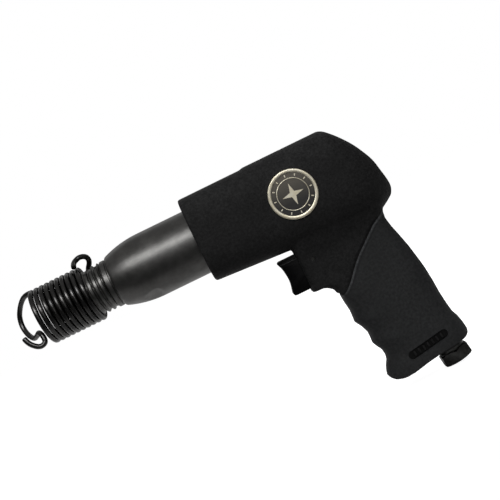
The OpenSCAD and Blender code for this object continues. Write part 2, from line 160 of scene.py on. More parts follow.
# The floor's tone runs from dark in front of the tool to light behind it, so that little light
# comes back up under the barrel. It glows to the camera only, which makes it look plain white.
FLOOR_FRONT = -150
FLOOR_BACK = 80
FLOOR_DARK = 0.05
FLOOR_LIGHT = 0.55
FLOOR_GLOW = 0.97


def floor_white():
    material = bpy.data.materials.new("floor_white")
    material.use_nodes = True
    tree = material.node_tree
    shader = tree.nodes["Principled BSDF"]
    shader.inputs["Roughness"].default_value = 0.9
    shader.inputs["Specular IOR Level"].default_value = 0.1
    where = tree.nodes.new("ShaderNodeTexCoord")
    depth = tree.nodes.new("ShaderNodeSeparateXYZ")
    tree.links.new(where.outputs["Object"], depth.inputs[0])
    level = tree.nodes.new("ShaderNodeMapRange")
    level.inputs["From Min"].default_value = FLOOR_FRONT * MM
    level.inputs["From Max"].default_value = FLOOR_BACK * MM
    level.inputs["To Min"].default_value = FLOOR_DARK
    level.inputs["To Max"].default_value = FLOOR_LIGHT
    tree.links.new(depth.outputs["Y"], level.inputs["Value"])
    tone = tree.nodes.new("ShaderNodeCombineColor")
    for name in ("Red", "Green", "Blue"):
        tree.links.new(level.outputs[0], tone.inputs[name])
    tree.links.new(tone.outputs[0], shader.inputs["Base Color"])
    glow = tree.nodes.new("ShaderNodeEmission")
    glow.inputs["Strength"].default_value = FLOOR_GLOW
    add = tree.nodes.new("ShaderNodeAddShader")
    tree.links.new(shader.outputs[0], add.inputs[0])
    tree.links.new(glow.outputs[0], add.inputs[1])
    path = tree.nodes.new("ShaderNodeLightPath")
    mix = tree.nodes.new("ShaderNodeMixShader")
    tree.links.new(path.outputs["Is Camera Ray"], mix.inputs[0])
    tree.links.new(shader.outputs[0], mix.inputs[1])
    tree.links.new(add.outputs[0], mix.inputs[2])
    tree.links.new(mix.outputs[0], tree.nodes["Material Output"].inputs[0])
    return material


def make_floor():
    low = CAD_BOX[0].z / MM
    corners = [(-FLOOR_HALF, -FLOOR_HALF), (FLOOR_HALF, -FLOOR_HALF), (FLOOR_HALF, FLOOR_HALF),
               (-FLOOR_HALF, FLOOR_HALF)]
    data = bpy.data.meshes.new("floor")
    data.from_pydata([(x * MM, y * MM, (low - FLOOR_GAP) * MM) for x, y in corners], [], [(0, 1, 2, 3)])
    floor = bpy.data.objects.new("floor", data)
    bpy.context.scene.collection.objects.link(floor)
    data.materials.append(floor_white())


# ---------------------------------------------------------------- mesh helpers

def new_object(name, data):
    piece = bpy.data.objects.new(name, data)
    bpy.context.scene.collection.objects.link(piece)
    return piece


def mesh_object(name, points, faces, smooth=True):
    """A piece from points in millimetres."""
    data = bpy.data.meshes.new(name)
    data.from_pydata([tuple(c * MM for c in p) for p in points], [], faces)
    data.validate()
    data.polygons.foreach_set("use_smooth", [smooth] * len(data.polygons))
    mend_normals(data)
    return new_object(name, data)


def mend_normals(data):
    """Joins points that coincide and turns every face outward."""
    work = bmesh.new()
    work.from_mesh(data)
    bmesh.ops.remove_doubles(work, verts=work.verts, dist=1e-7)
    bmesh.ops.recalc_face_normals(work, faces=work.faces)
    work.to_mesh(data)
    work.free()


def bake_modifiers(piece):
    """Turns the piece's modifiers into its mesh."""
    graph = bpy.context.evaluated_depsgraph_get()
    data = bpy.data.meshes.new_from_object(piece.evaluated_get(graph))
    piece.modifiers.clear()
    piece.data = data


def combine(piece, tool, operation):
    """Boolean of a piece with a tool, which is used up."""
    step = piece.modifiers.new("combine", "BOOLEAN")
    step.operation = operation
    step.solver = "EXACT"
    step.object = tool
    bake_modifiers(piece)
    bpy.data.objects.remove(tool)


def remesh(piece, size):
    """Rebuilds the surface from cubes of this size in millimetres, which joins its parts into one skin."""
    step = piece.modifiers.new("remesh", "REMESH")
    step.mode = "VOXEL"
    step.voxel_size = size * MM
    step.use_smooth_shade = True
    bake_modifiers(piece)


def relax(piece, rounds):
    """Smooths the surface, which rounds its edges a little more with each round."""
    step = piece.modifiers.new("relax", "SMOOTH")
    step.iterations = rounds
    step.factor = 0.5
    bake_modifiers(piece)


def bevel(piece, width, segments):
    """Rounds every sharp edge."""
    step = piece.modifiers.new("bevel", "BEVEL")
    step.width = width * MM
    step.segments = segments
    step.limit_method = "ANGLE"
    step.angle_limit = math.radians(35)
    bake_modifiers(piece)


def shade(piece, angle):
    """Smooth shading, broken where faces meet at more than this angle in degrees."""
    data = piece.data
    data.polygons.foreach_set("use_smooth", [True] * len(data.polygons))
    data.set_sharp_from_angle(angle=math.radians(angle))


def angles(count):
    """Angles spread evenly round a full turn."""
    return np.linspace(0, 2 * math.pi, count, endpoint=False)


def loft(name, rings, closed_path=False):
    """A skin over rings of equal length, with flat ends unless the path closes."""
    count = len(rings[0])
    points = [p for ring in rings for p in ring]
    faces = []
    spans = len(rings) if closed_path else len(rings) - 1
    for i in range(spans):
        a, b = i * count, ((i + 1) % len(rings)) * count
        for k in range(count):
            m = (k + 1) % count
            faces.append((a + k, a + m, b + m, b + k))
    if not closed_path:
        faces.append(tuple(range(count)))
        faces.append(tuple(reversed(range((len(rings) - 1) * count, len(rings) * count))))
    return mesh_object(name, points, faces)


def side_slab(name, outline, half_width):
    """A side outline of (x, z) points, made as wide as the tool needs."""
    rings = [[(x, y, z) for x, z in outline] for y in (-half_width, half_width)]
    return loft(name, rings)


def x_rod(name, radius, start, end):
    ring = [(radius * math.cos(a), radius * math.sin(a)) for a in angles(96)]
    return loft(name, [[(x, y, h) for y, h in ring] for x in (start, end)])


def x_lathe_solid(name, profile):
    """A profile of (x, radius) points turned about the X axis, with flat ends."""
    return loft(name, [[(x, r * math.cos(a), r * math.sin(a)) for a in angles(96)] for x, r in profile])


def y_rod(name, radius, at, start, end, segments=64):
    ring = [(at[0] + radius * math.cos(a), at[1] + radius * math.sin(a)) for a in angles(segments)]
    return loft(name, [[(x, y, z) for x, z in ring] for y in (start, end)])


def box(name, low, high):
    outline = [(low[0], low[2]), (high[0], low[2]), (high[0], high[2]), (low[0], high[2])]
    rings = [[(x, y, z) for x, z in outline] for y in (low[1], high[1])]
    return loft(name, rings)


def superellipse(half_a, half_b, power, count):
    """Points of a rounded rectangle-like ring, spread evenly enough by angle."""
    ring = []
    for k in range(count):
        t = 2 * math.pi * k / count
        c, s = math.cos(t), math.sin(t)
        ring.append((half_a * math.copysign(abs(c) ** (2 / power), c),
                     half_b * math.copysign(abs(s) ** (2 / power), s)))
    return ring


def smooth_curve(points, steps):
    """A Catmull-Rom curve through given points."""
    p = [np.array(q, float) for q in points]
    p = [2 * p[0] - p[1]] + p + [2 * p[-1] - p[-2]]
    out = []
    for i in range(1, len(p) - 2):
        a, b, c, d = p[i - 1: i + 3]
        for k in range(steps):
            s = k / steps
            out.append(0.5 * (2 * b + (c - a) * s + (2 * a - 5 * b + 4 * c - d) * s ** 2
                              + (3 * b - a - 3 * c + d) * s ** 3))
    out.append(p[-2])
    return out


def tube(name, path, radius, sides):
    """A round wire along a path, a little thinner at its two ends."""
    path = [np.array(q, float) for q in path]
    tangents = np.gradient(np.array(path), axis=0)
    tangents /= np.linalg.norm(tangents, axis=1)[:, None]
    side = np.cross(tangents[0], (0.0, 0.0, 1.0))
    rings = []
    radii = [radius] * len(path)
    radii[0] = radii[-1] = radius * 0.82
    for point, ahead, size in zip(path, tangents, radii):
        side = side - np.dot(side, ahead) * ahead
        side /= np.linalg.norm(side)
        up = np.cross(ahead, side)
        rings.append([tuple(point + size * (math.cos(a) * side + math.sin(a) * up))
                      for a in angles(sides)])
    return loft(name, rings)


def finish_piece(piece, body, material, nodes):
    """Paints a piece and says which body it rides on and which CAD nodes it stands for."""
    piece.data.materials.clear()
    piece.data.materials.append(material)
    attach(piece, body)
    if nodes:
        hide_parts(*nodes)


# ---------------------------------------------------------------- materials

def gray(tone):
    return (tone, tone, tone)


class Paint:
    """A material whose nodes are added one by one."""

    def __init__(self, name):
        self.material = bpy.data.materials.new(name)
        self.material.use_nodes = True
        self.tree = self.material.node_tree
        self.shader = self.tree.nodes["Principled BSDF"]
        self.place = self.tree.nodes.new("ShaderNodeTexCoord").outputs["Object"]

    def set(self, **values):
        for key, value in values.items():
            self.shader.inputs[key.replace("_", " ")].default_value = value

    def node(self, kind, settings=None, **inputs):
        made = self.tree.nodes.new(kind)
        for key, value in (settings or {}).items():
            setattr(made, key, value)
        for key, value in inputs.items():
            socket = made.inputs[key.replace("_", " ")]
            if hasattr(value, "is_output"):
                self.tree.links.new(value, socket)
            else:
                socket.default_value = value
        return made

    def noise(self, size_mm, detail=2.0, rough=0.5):
        made = self.node("ShaderNodeTexNoise", Vector=self.place, Scale=1000.0 / size_mm, Detail=detail,
                         Roughness=rough)
        return made.outputs["Fac"]

    def pebbles(self, size_mm):
        made = self.node("ShaderNodeTexVoronoi", {"feature": "SMOOTH_F1"}, Vector=self.place,
                         Scale=1000.0 / size_mm)
        return made.outputs["Distance"]

    def ramp(self, factor, stops):
        """A colour that follows a 0 to 1 factor through (place, colour) stops."""
        made = self.node("ShaderNodeValToRGB", Fac=factor)
        band = made.color_ramp
        while len(band.elements) < len(stops):
            band.elements.new(0.5)
        for element, (at, colour) in zip(band.elements, stops):
            element.position = at
            element.color = (*colour, 1)
        return made.outputs["Color"]

    def product(self, first, second):
        """Two colours multiplied."""
        made = self.node("ShaderNodeMix", {"data_type": "RGBA", "blend_type": "MULTIPLY"})
        made.inputs[0].default_value = 1.0
        self.tree.links.new(first, made.inputs[6])
        self.tree.links.new(second, made.inputs[7])
        return made.outputs[2]

    def between(self, factor, low, high):
        """A number that follows a 0 to 1 factor."""
        made = self.node("ShaderNodeMapRange", Value=factor)
        made.inputs["To Min"].default_value = low
        made.inputs["To Max"].default_value = high
        return made.outputs["Result"]

    def bump(self, height, strength, depth_mm, under=None):
        made = self.node("ShaderNodeBump", Height=height, Strength=strength, Distance=depth_mm * MM)
        if under is not None:
            self.tree.links.new(under, made.inputs["Normal"])
        return made.outputs["Normal"]

    def link(self, output, name):
        """Feeds one of the shader's own sockets."""
        self.tree.links.new(output, self.shader.inputs[name])


def cover_rubber():
    """Black rubber with a fine pebbled grain, a little cloudy."""
    p = Paint("cover_rubber")
    p.set(Specular_IOR_Level=0.32)
    cloud = p.ramp(p.noise(16, 3), [(0.3, gray(0.6)), (0.7, gray(1.0))])
    speckle = p.ramp(p.noise(1.5, 4, 0.75),
                     [(0.38, (0.0012, 0.0012, 0.0013)), (0.64, (0.0145, 0.0145, 0.0148))])
    p.link(p.product(cloud, speckle), "Base Color")
    p.link(p.between(p.noise(6, 2), 0.66, 0.84), "Roughness")
    grain = p.bump(p.pebbles(0.9), 0.6, 0.25)
    p.link(p.bump(p.noise(0.45, 3), 0.4, 0.12, grain), "Normal")
    return p.material


def grip_rubber():
    """Smooth satin rubber, a little lighter than the cover, with a painted highlight along its top bead."""
    p = Paint("grip_rubber")
    p.set(Specular_IOR_Level=0.32)
    cloud = p.ramp(p.noise(20, 3), [(0.3, gray(0.8)), (0.7, gray(1.0))])
    speckle = p.ramp(p.noise(1.6, 3, 0.6),
                     [(0.35, (0.0105, 0.011, 0.0117)), (0.65, (0.0215, 0.0222, 0.023))])
    # Painted highlight: near the bead along the seam the rubber is made up to 3.6 times lighter, where light
    # catches its edge.
    highlight_mask = p.node("ShaderNodeAttribute", {"attribute_name": BEAD_HIGHLIGHT}).outputs["Fac"]
    painted_highlight = p.ramp(highlight_mask, [(0.0, gray(1.0)), (1.0, gray(3.6))])
    p.link(p.product(p.product(cloud, speckle), painted_highlight), "Base Color")
    p.link(p.between(p.noise(5, 3), 0.58, 0.72), "Roughness")
    grain = p.bump(p.noise(0.5, 4, 0.6), 0.25, 0.08)
    p.link(p.bump(p.noise(7, 2), 0.2, 0.3, grain), "Normal")
    return p.material


def slot_shade_rubber(name, low, high):
    """Rubber painted darker for the shade in the grip's slots."""
    p = Paint(name)
    p.set(Specular_IOR_Level=0.15)
    p.link(p.ramp(p.noise(1.5, 3), [(0.3, gray(low)), (0.7, gray(high))]), "Base Color")
    p.link(p.between(p.noise(1, 2), 0.7, 0.85), "Roughness")
    p.link(p.bump(p.noise(0.4, 2), 0.3, 0.05), "Normal")
    return p.material


# How many turning marks there are to a metre along X, and across it, where they are long.
TURNING_MARKS = (6000, 40, 40)


def turned_metal(name, colour, rough_low, rough_high, mottle=0.2):
    """Turned metal: a cloudy tone, by mottle to either side, and fine marks round the X axis."""
    p = Paint(name)
    p.set(Metallic=1.0)
    tone = np.array(colour)
    stops = [(0.32, tuple(tone * (1 - mottle))), (0.68, tuple(tone * (1 + mottle)))]
    p.link(p.ramp(p.noise(9, 5, 0.65), stops), "Base Color")
    p.link(p.between(p.noise(4, 4), rough_low, rough_high), "Roughness")
    stretch = p.node("ShaderNodeMapping", Vector=p.place)
    stretch.inputs["Scale"].default_value = TURNING_MARKS
    rings = p.node("ShaderNodeTexNoise", Vector=stretch.outputs["Vector"], Scale=1.0, Detail=2.0)
    turned = p.bump(rings.outputs["Fac"], 0.12, 0.02)
    p.link(p.bump(p.noise(5, 3), 0.12, 0.25, turned), "Normal")
    return p.material


def spring_black():
    """Glossy black oxide wire."""
    p = Paint("spring_wire")
    p.set(Metallic=1.0)
    p.link(p.ramp(p.noise(5, 3), [(0.35, gray(0.06)), (0.75, (0.11, 0.107, 0.104))]), "Base Color")
    p.link(p.between(p.noise(1.5, 3), 0.14, 0.26), "Roughness")
    p.link(p.bump(p.noise(0.7, 3), 0.15, 0.04), "Normal")
    return p.material


def trigger_plastic():
    """Glossy black plastic with faint flow marks."""
    p = Paint("trigger_plastic")
    p.set(Specular_IOR_Level=0.2)
    tone = p.ramp(p.noise(6, 2), [(0.3, (0.001, 0.001, 0.0012)), (0.7, (0.0022, 0.0022, 0.0026))])
    p.link(tone, "Base Color")
    p.link(p.between(p.noise(3, 3), 0.18, 0.26), "Roughness")
    p.link(p.bump(p.noise(2, 3), 0.08, 0.05), "Normal")
    return p.material


def gold_foil():
    """Pale gold foil, a little brushed."""
    p = Paint("badge_gold")
    p.set(Metallic=0.75)
    p.link(p.ramp(p.noise(3, 3), [(0.3, (0.84, 0.76, 0.56)), (0.7, (0.98, 0.93, 0.77))]), "Base Color")
    p.link(p.between(p.noise(1.5, 2), 0.28, 0.42), "Roughness")
    p.link(p.bump(p.noise(0.6, 2), 0.1, 0.03), "Normal")
    return p.material


def badge_field():
    """Field with painted light: warm brown-gray at the top, where the light from above falls, running to
    black lower down.
    """
    p = Paint("badge_field")
    p.set(Specular_IOR_Level=0.5, Coat_Weight=0.5, Coat_Roughness=0.2)
    split = p.node("ShaderNodeSeparateXYZ", Vector=p.place)
    height = p.node("ShaderNodeMapRange", Value=split.outputs["Z"])
    height.inputs["From Min"].default_value = -13 * MM
    height.inputs["From Max"].default_value = 13 * MM
    # Painted light: the field runs from lit brown-gray at its top to black lower down.
    fade = p.ramp(height.outputs["Result"], [(0.3, (0.008, 0.007, 0.006)), (0.85, (0.1, 0.088, 0.068))])
    p.link(fade, "Base Color")
    p.link(p.between(p.noise(2, 2), 0.3, 0.42), "Roughness")
    p.link(p.bump(p.noise(0.4, 2), 0.12, 0.02), "Normal")
    return p.material


def matte_black(name):
    """Plain black rubber or plastic, for seals and hidden mouldings."""
    p = Paint(name)
    p.link(p.ramp(p.noise(2, 2), [(0.3, gray(0.012)), (0.7, gray(0.022))]), "Base Color")
    p.link(p.between(p.noise(1, 2), 0.45, 0.6), "Roughness")
    p.link(p.bump(p.noise(0.4, 2), 0.2, 0.04), "Normal")
    return p.material


def cast_alloy():
    """Rough cast aluminium."""
    p = Paint("cast_alloy")
    p.set(Metallic=1.0)
    p.link(p.ramp(p.noise(6, 4), [(0.3, (0.42, 0.43, 0.44)), (0.7, (0.56, 0.57, 0.58))]), "Base Color")
    p.link(p.between(p.noise(2, 3), 0.42, 0.6), "Roughness")
    p.link(p.bump(p.noise(0.8, 4), 0.3, 0.12), "Normal")
    return p.material


# ---------------------------------------------------------------- head cover

# Top and bottom of the head along X, and the back of the head, as (x, z).
COVER_FRONT = 85.1
HEAD_CORNER = 176.6
HEAD_BACK = 203.3
HEAD_TOP = [(COVER_FRONT, 26.2), (85.5, 26.7), (86.2, 26.9), (126, 27.0), (127.6, 27.6),
            (HEAD_CORNER, 27.6), (179.5, 26.3), (182, 24.2), (186.8, 19.2), (192.7, 11.7), (197.5, 3.3),
            (199.6, -1.5), (201, -7.5), (202.9, -15.3), (HEAD_BACK, -18.5)]
HEAD_BOTTOM = [(COVER_FRONT, -25.3), (85.5, -25.8), (86.2, -26.1), (132, -29.1), (150, -29.6), (186, -30.8),
               (192, -31), (197, -28.2), (201, -25.6), (202.9, -22.5), (HEAD_BACK, -20.5)]
# From here on, over this length, the sides of the head close in to its back.
CLOSING_START = 177.7
CLOSING_LENGTH = 25.8
# Front of the block behind the trigger, from its foot to the seam, as (z, x).
BLOCK_FRONT = 133.6
BLOCK_LOW = -57.4
BLOCK_FOOT = [(-57.41, 138.8), (-58.4, 141.5), (-60.9, 144.8), (-63.3, 146.2), (-66, 147), (-70, 147.4)]
NECK_REAR = [(-14, 192), (-31, 192), (-72, 188)]
# The line where the cover meets the grip, from the front to the back.
SEAM = [(147.4, -66.6), (152, -64.3), (156, -60.5), (160.2, -55.6), (164.2, -51.3), (168.3, -47.6),
        (174.3, -42.7), (178.4, -39.4), (182.4, -36.3), (186.4, -34.1), (190.6, -31)]
HEAD_HALF_WIDTH = 25.5
NECK_HALF_WIDTH = 15.5
# Where the neck starts to widen on its way up into the head, over what height and by how much.
FILLET_LOW = -40.0
FILLET_HEIGHT = 30.0
FILLET_REACH = 9.8
# Two shallow grooves across the top, cut by rods that lie just above it.
TOP_GROOVES = (139, 152.5)
GROOVE_ROD_RADIUS = 1.0
GROOVE_ROD_HEIGHT = 28.1
GROOVE_HALF_LENGTH = 14
# The room inside the cover for the casting and the deflector, as (x, radius).
CASTING_ROOM = [(87.4, 22.6), (168, 22.6), (177, 21.3), (185, 17.1), (190, 12.1), (193.6, 5.1)]
BORE_RADIUS = 20.5
# Lowest and highest corners of the cover's room for the casting's neck, and of the trigger's pocket.
NECK_ROOM = ((138, -12.1, -80), (190.5, 12.1, -12))
TRIGGER_POCKET = ((130, -8.35, -54.95), (158.5, 8.35, -31.75))
# Centres of the trigger's pin and of the badge, as (x, z).
PIN_AT = (142.0, -39.0)
PIN_HOLE_RADIUS = 1.45
BADGE_AT = (147.2, -0.3)
BADGE_RADIUS = 14.65
BADGE_SEAT = -24.5
# How far the cover's edge sinks along the seam.
SEAM_SINK = 0.55


def on_the_side(points):
    """1 for points out on the sides of the neck, running to 0 towards its middle."""
    return np.clip((np.abs(points[:, 1]) - 8) / 4, 0, 1)


def follow(line, x):
    """Height of a polyline at x."""
    xs = [p[0] for p in line]
    zs = [p[1] for p in line]
    return float(np.interp(x, xs, zs))


def follow_down(line, z):
    """The second value at height z of a line of (z, value) points that runs downwards."""
    return float(np.interp(-z, [-p[0] for p in line], [p[1] for p in line]))


def rounded_after(line, corner):
    """The same line with a smooth curve through its points from the corner on."""
    straight = [p for p in line if p[0] < corner]
    curved = smooth_curve([p for p in line if p[0] >= corner], 8)
    return straight + [tuple(p) for p in curved]


def head_solid():
    """The head, cut in upright slices that follow each other more closely at both ends."""
    front = COVER_FRONT
    stations = np.concatenate([np.arange(front, front + 2, 0.3), np.arange(front + 2, 176, 0.5),
                               np.arange(176, HEAD_BACK, 0.3)])
    rings = []
    top_line = rounded_after(HEAD_TOP, HEAD_CORNER)
    for x in stations:
        top, bottom = follow(top_line, x), follow(HEAD_BOTTOM, x)
        back = max(0.0, (x - CLOSING_START) / CLOSING_LENGTH)
        half = HEAD_HALF_WIDTH * math.sqrt(max(0.02, 1 - back ** 2.1))
        half *= 1 - 0.02 * max(0.0, 1 - (x - front))
        ring = superellipse(half, (top - bottom) / 2, 3.6 - 0.9 * min(1.0, back), 200)
        rings.append([(x, y, (top + bottom) / 2 + z) for y, z in ring])
    return loft("head", rings)


def neck_fillet(z):
    """How much wider than its lower part the neck is, where it flows into the head."""
    share = min(1.0, max(0.0, (z - FILLET_LOW) / FILLET_HEIGHT))
    return FILLET_REACH * share * share * (3 - 2 * share)


def neck_solid():
    """The block behind the trigger and the neck down to the grip, cut in level slices."""
    slices = [(z, BLOCK_FRONT) for z in np.arange(-14, BLOCK_LOW, -0.5)] + [(BLOCK_LOW, BLOCK_FRONT)]
    slices += [(z, follow_down(BLOCK_FOOT, z)) for z in np.arange(BLOCK_FOOT[0][0], BLOCK_FOOT[-1][0], -0.3)]
    rings = []
    for z, front in slices:
        rear = follow_down(NECK_REAR, z)
        ring = superellipse((rear - front) / 2, NECK_HALF_WIDTH + neck_fillet(z), 7.0, 200)
        rings.append([((front + rear) / 2 + x, y, z) for x, y in ring])
    return loft("neck", rings)


def make_cover(material):
    """The rubber skin of the head and the trigger block, hollow and open as the CAD's is."""
    cover = head_solid()
    combine(cover, neck_solid(), "UNION")
    remesh(cover, 0.6)
    relax(cover, 7)

    def sunk_edge(points):
        near = distance_to_line(points[:, (0, 2)], SEAM)
        return -SEAM_SINK * np.clip(1 - (near - 0.5) / 0.7, 0, 1) * on_the_side(points)

    move_along_normals(cover, sunk_edge)
    combine(cover, x_rod("bore", BORE_RADIUS, 80, 90), "DIFFERENCE")
    combine(cover, x_lathe_solid("room", CASTING_ROOM), "DIFFERENCE")
    combine(cover, box("core", *NECK_ROOM), "DIFFERENCE")
    combine(cover, box("pocket", *TRIGGER_POCKET), "DIFFERENCE")
    combine(cover, y_rod("pin_hole", PIN_HOLE_RADIUS, PIN_AT, -30, 30), "DIFFERENCE")
    combine(cover, y_rod("recess", BADGE_RADIUS + 0.2, BADGE_AT, -40, BADGE_SEAT, 128), "DIFFERENCE")
    # The part below the seam belongs to the grip.
    below = [(120, -80), (120, SEAM[0][1])] + SEAM + [(215, -31), (215, -80)]
    combine(cover, side_slab("below", below, 40), "DIFFERENCE")
    for x in TOP_GROOVES:
        rod = y_rod("groove", GROOVE_ROD_RADIUS, (x, GROOVE_ROD_HEIGHT), -GROOVE_HALF_LENGTH,
                    GROOVE_HALF_LENGTH)
        combine(cover, rod, "DIFFERENCE")
    shade(cover, 50)
    cover.name = "head_cover_skin"
    finish_piece(cover, "housing", material, ["head_cover"])


# ---------------------------------------------------------------- grip

# Finger side and back of the grip, from the top down, as (z, x), and its foot as (x, z).
GRIP_FRONT = [(-28, 148.1), (-67.4, 148), (-72.4, 148.4), (-77.1, 149.1), (-83, 148.8),
              (-84.6, 148.5), (-88.9, 151.2), (-93.6, 153), (-97.7, 153), (-100.6, 152.7), (-103.6, 154.2),
              (-106.5, 156), (-110.6, 156.6), (-113.6, 156), (-116.5, 154.2), (-119.4, 153), (-121.9, 152.3),
              (-124.1, 152.5), (-127, 153)]
GRIP_REAR = [(-29, 192.2), (-36.3, 191.4), (-42.3, 192.6), (-48.3, 194.4), (-57.3, 196.8), (-66.3, 198.6),
             (-72.3, 199.8), (-81.3, 201), (-90.3, 201.6), (-99.3, 202.8), (-103.5, 203.6), (-107.1, 205.2),
             (-111.9, 206.4), (-116.1, 207), (-118.6, 206.6), (-127, 205)]
GRIP_FOOT = [(148, -118.5), (151.6, -120.4), (153, -123.2), (155.2, -124.9), (158.7, -125.6), (161.7, -125.7),
             (166.8, -125), (175, -123.2), (183.1, -121.9), (199.4, -120.4), (202.9, -119.9), (205.8, -118.6),
             (207.6, -116.3)]
GRIP_HALF_WIDTH = 16.5
# Share of that width, and how square the grip's cross section is, from the top down, as (z, value).
GRIP_WIDTH_SHARE = [(-28, 0.955), (-60, 0.97), (-90, 0.985), (-112, 1.0), (-130, 0.99)]
GRIP_SQUARENESS = [(-28, 5.0), (-68, 4.5), (-80, 3.4), (-95, 2.9)]
# Side outline of the room for the casting inside the grip, as (x, z), and its half width.
GRIP_CORE = [(130, -20), (130, -60), (153.5, -67), (158, -86), (162, -98), (164, -112), (163.5, -122.2),
             (172, -121.6), (183, -120.2), (200.5, -119), (200.5, -112), (198, -99), (196, -78),
             (190.5, -50), (187.5, -36), (187.5, -20)]
CORE_HALF_WIDTH = 12.1
INLET_ROOM_RADIUS = 9.2
# How far the bead stands out along the seam.
BEAD_HEIGHT = 0.6


def grip_solid():
    """The grip, cut in level slices."""
    rings = []
    for z in np.arange(-28, -128, -0.5):
        front = follow_down(GRIP_FRONT, z)
        rear = follow_down(GRIP_REAR, z)
        half = GRIP_HALF_WIDTH * follow_down(GRIP_WIDTH_SHARE, z)
        power = follow_down(GRIP_SQUARENESS, z)
        ring = superellipse((rear - front) / 2, half, power, 160)
        rings.append([((front + rear) / 2 + x, y, z) for x, y in ring])
    return loft("grip", rings)


def distance_to_line(points, line):
    """Shortest distance in the side view from each point to a polyline."""
    best = np.full(len(points), 1e9)
    for (ax, az), (bx, bz) in zip(line, line[1:]):
        d = np.array([bx - ax, bz - az])
        t = np.clip(((points - (ax, az)) @ d) / (d @ d), 0, 1)
        near = np.array([ax, az]) + t[:, None] * d
        best = np.minimum(best, np.linalg.norm(points - near, axis=1))
    return best


def move_along_normals(piece, amount):
    """Moves each point along its normal by amount(points) millimetres."""
    data = piece.data
    count = len(data.vertices)
    flat = np.empty(count * 3)
    data.vertices.foreach_get("co", flat)
    points = flat.reshape(-1, 3)
    normals = np.empty(count * 3)
    data.vertices.foreach_get("normal", normals)
    normals = normals.reshape(-1, 3)
    points = points + normals * (amount(points / MM) * MM)[:, None]
    data.vertices.foreach_set("co", points.ravel())
    data.update()


def slot_outline(half_length, half_height, count=12):
    """A long hole with round ends, as points (u, v) with u along it."""
    ends = []
    for centre, start in ((half_length - half_height, -90), (-(half_length - half_height), 90)):
        for k in range(count + 1):
            a = math.radians(start + 180 * k / count)
            ends.append((centre + half_height * math.cos(a), half_height * math.sin(a)))
    return ends


# The slot low on each side of the grip: its centre, half length, half height and depth.
SLOT_AT = (180.4, -113.3)
SLOT_LEAN = math.radians(9)
SLOT_HALF_LENGTH = 13.5
SLOT_HALF_HEIGHT = 2.6
SLOT_DEPTH = 1.2
# The ribs on the slot's floor: how many, how far apart, and half of each one's length and width.
RIB_COUNT = 7
RIB_PITCH = 3.1
RIB_HALF_LENGTH = 1.65
RIB_HALF_WIDTH = 0.62
# The rib's rounded side, from its foot up, as (how far in, height).
RIB_SIDE = [(0.0, 0.0), (0.0, 0.65), (0.12, 0.85), (0.4, 0.95)]


def on_slot(u, v):
    """A point of the slot's own plane, u along it and v across it, as (x, z)."""
    c, s = math.cos(SLOT_LEAN), math.sin(SLOT_LEAN)
    return (SLOT_AT[0] + u * c - v * s, SLOT_AT[1] + u * s + v * c)


def slot_cutter(side):
    """The tool that cuts the slot on one side, -1 or 1."""
    ring = [on_slot(u, v) for u, v in slot_outline(SLOT_HALF_LENGTH, SLOT_HALF_HEIGHT)]
    depths = (GRIP_HALF_WIDTH - SLOT_DEPTH, GRIP_HALF_WIDTH + 5)
    return loft("slot", [[(x, side * y, z) for x, z in ring] for y in depths])


def slot_rib(side, floor, place):
    """One rounded rib that stands on the floor of the slot, at a place along it."""
    rings = []
    for inset, height in RIB_SIDE:
        shape = slot_outline(RIB_HALF_LENGTH - inset, RIB_HALF_WIDTH - inset, 6)
        ring = [on_slot(place + v, u) for u, v in shape]
        rings.append([(x, side * (floor + height), z) for x, z in ring])
    return loft("rib", rings)


def make_slot_ribs(floor_shade_paint, rib_shade_paint):
    """A dark sheet of painted shade on the floor of each slot, with low rounded ribs on it that are also
    painted darker for shade.
    """
    floor = GRIP_HALF_WIDTH - SLOT_DEPTH - 0.1
    outline = [on_slot(u, v) for u, v in slot_outline(SLOT_HALF_LENGTH, SLOT_HALF_HEIGHT)]
    for side, label in ((-1, "left"), (1, "right")):
        painted_shade_sheet = loft(f"grip_slot_inlay_{label}", [[(x, side * y, z) for x, z in outline]
                                                  for y in (floor - 0.2, floor + 0.2)])
        shade(painted_shade_sheet, 50)
        finish_piece(painted_shade_sheet, "housing", floor_shade_paint, [])
        places = [RIB_PITCH * (k - RIB_COUNT // 2) for k in range(RIB_COUNT)]
        ribs = slot_rib(side, floor, places[0])
        for place in places[1:]:
            combine(ribs, slot_rib(side, floor, place), "UNION")
        ribs.name = f"grip_slot_ribs_{label}"
        shade(ribs, 50)
        finish_piece(ribs, "housing", rib_shade_paint, [])


# The name of the mark that the grip's material reads for its painted highlight along the bead.
BEAD_HIGHLIGHT = "bead"


def mark_bead_highlight(piece):
    """Stores how near each point is to the bead along the seam, for the material's painted highlight."""
    data = piece.data
    flat = np.empty(len(data.vertices) * 3)
    data.vertices.foreach_get("co", flat)
    near = distance_to_line(flat.reshape(-1, 3)[:, (0, 2)] / MM, SEAM)
    mark = data.attributes.new(BEAD_HIGHLIGHT, "FLOAT", "POINT")
    mark.data.foreach_set("value", np.clip(2.2 - near / 0.7, 0, 1))


